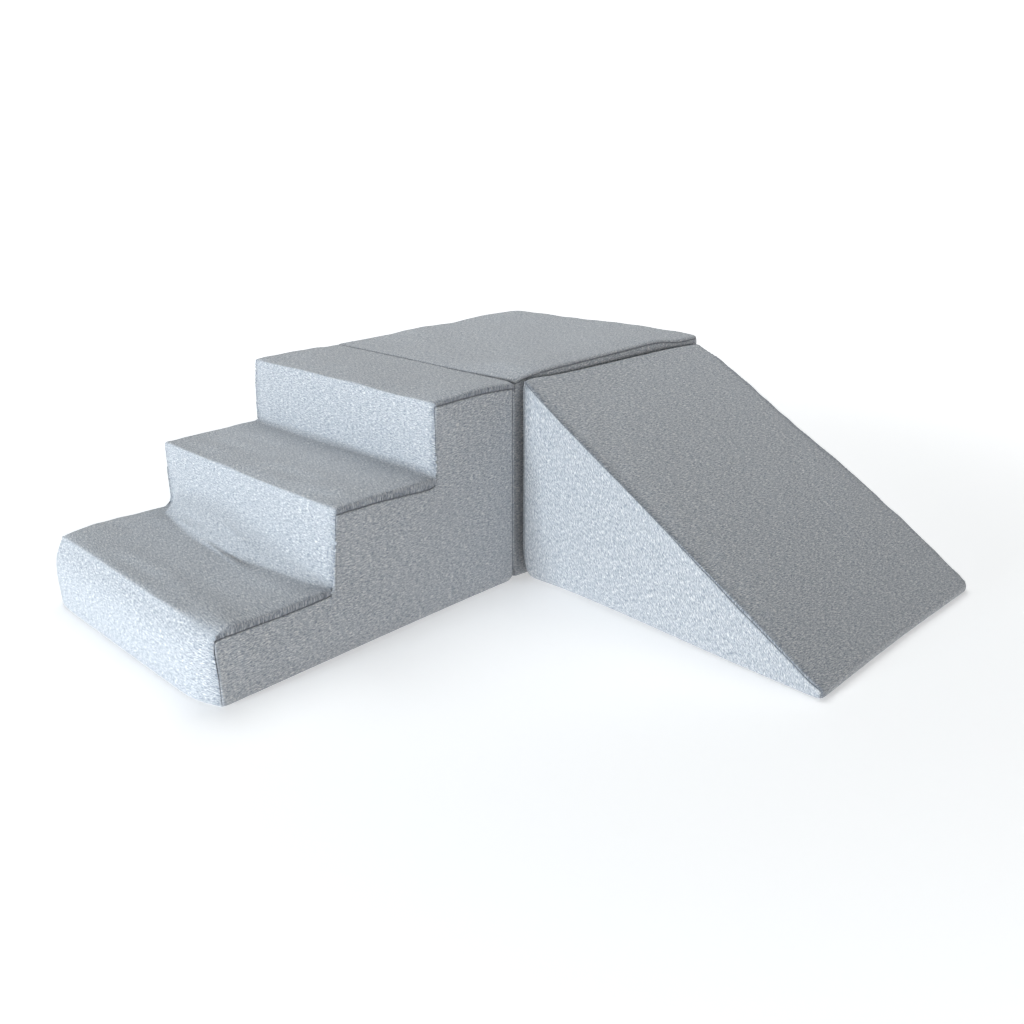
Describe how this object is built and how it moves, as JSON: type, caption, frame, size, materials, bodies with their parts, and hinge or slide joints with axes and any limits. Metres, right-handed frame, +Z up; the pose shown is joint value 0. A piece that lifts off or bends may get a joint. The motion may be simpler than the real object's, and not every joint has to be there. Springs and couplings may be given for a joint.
{
  "type": "soft play foam climber",
  "caption": "Soft play climber of loose foam blocks in grey jersey covers: a flight of low steps, a square corner platform and a straight slide at a right angle.",
  "frame": {"origin": "centre of the platform's underside, on the floor", "axes": "+Z up; the steps run down towards -X and the slide runs down towards -Y"},
  "size_m": [1.4024, 1.3782, 0.45],
  "materials": {
    "jersey": "matt heather-grey jersey knit with light and dark flecks",
    "foam": "open-cell polyurethane foam, off-white",
    "zip_tape": "woven polyester tape, grey",
    "zip_coil": "satin nylon coil, grey",
    "zinc": "nickel-plated die-cast zinc, satin"
  },
  "bodies": {
    "platform": {"platform_foam_block": "foam", "platform_top_panel": "jersey", "platform_slide_side_panel": "jersey", "platform_far_side_panel": "jersey", "platform_far_side_base_strip": "jersey", "platform_stair_side_panel": "jersey", "platform_outer_side_panel": "jersey", "platform_base_panel": "jersey", "platform_zip_tape_upper": "zip_tape", "platform_zip_tape_lower": "zip_tape", "platform_zip_coil_upper": "zip_coil", "platform_zip_coil_lower": "zip_coil", "platform_zip_top_stop": "zinc", "platform_zip_bottom_stop": "zinc"},
    "stairs": {"stairs_foam_lower_slab": "foam", "stairs_foam_middle_slab": "foam", "stairs_foam_upper_slab": "foam", "stairs_step_band": "jersey", "stairs_near_side_panel": "jersey", "stairs_far_side_panel": "jersey", "stairs_far_side_base_strip": "jersey", "stairs_back_panel": "jersey", "stairs_base_panel": "jersey", "stairs_zip_tape_upper": "zip_tape", "stairs_zip_tape_lower": "zip_tape", "stairs_zip_coil_upper": "zip_coil", "stairs_zip_coil_lower": "zip_coil", "stairs_zip_top_stop": "zinc", "stairs_zip_bottom_stop": "zinc"},
    "slide": {"slide_foam_wedge": "foam", "slide_ramp_band": "jersey", "slide_near_side_panel": "jersey", "slide_far_side_panel": "jersey", "slide_far_side_base_strip": "jersey", "slide_back_panel": "jersey", "slide_base_panel": "jersey", "slide_zip_tape_upper": "zip_tape", "slide_zip_tape_lower": "zip_tape", "slide_zip_coil_upper": "zip_coil", "slide_zip_coil_lower": "zip_coil", "slide_zip_top_stop": "zinc", "slide_zip_bottom_stop": "zinc"},
    "stairs_zip_slider": {"stairs_zip_slider": "zinc"},
    "stairs_zip_pull": {"stairs_zip_pull": "zinc"},
    "platform_zip_slider": {"platform_zip_slider": "zinc"},
    "platform_zip_pull": {"platform_zip_pull": "zinc"},
    "slide_zip_slider": {"slide_zip_slider": "zinc"},
    "slide_zip_pull": {"slide_zip_pull": "zinc"}
  },
  "joints": [
    {"name": "stairs_pull_away", "type": "slide", "parent": "platform", "child": "stairs", "axis": [-1, 0, 0], "range_m": [0, 0.4]},
    {"name": "slide_pull_away", "type": "slide", "parent": "platform", "child": "slide", "axis": [0, -1, 0], "range_m": [0, 0.4]},
    {"name": "stairs_zip_run", "type": "slide", "parent": "stairs", "child": "stairs_zip_slider", "axis": [-1, 0, 0], "range_m": [0, 0.643]},
    {"name": "stairs_zip_pull_swing", "type": "hinge", "parent": "stairs_zip_slider", "child": "stairs_zip_pull", "pos_m": [-0.374, 0.31145, 0.042], "axis": [0, 0, -1], "range_deg": [0, 175]},
    {"name": "platform_zip_run", "type": "slide", "parent": "platform", "child": "platform_zip_slider", "axis": [-1, 0, 0], "range_m": [0, 0.543]},
    {"name": "platform_zip_pull_swing", "type": "hinge", "parent": "platform_zip_slider", "child": "platform_zip_pull", "pos_m": [0.2715, 0.31145, 0.042], "axis": [0, 0, -1], "range_deg": [0, 175]},
    {"name": "slide_zip_run", "type": "slide", "parent": "slide", "child": "slide_zip_slider", "axis": [0.014, 0.9999, 0], "range_m": [0, 0.529]},
    {"name": "slide_zip_pull_swing", "type": "hinge", "parent": "slide_zip_slider", "child": "slide_zip_pull", "pos_m": [0.32778, -0.89999, 0.042], "axis": [0, 0, -1], "range_deg": [0, 175]}
  ]
}
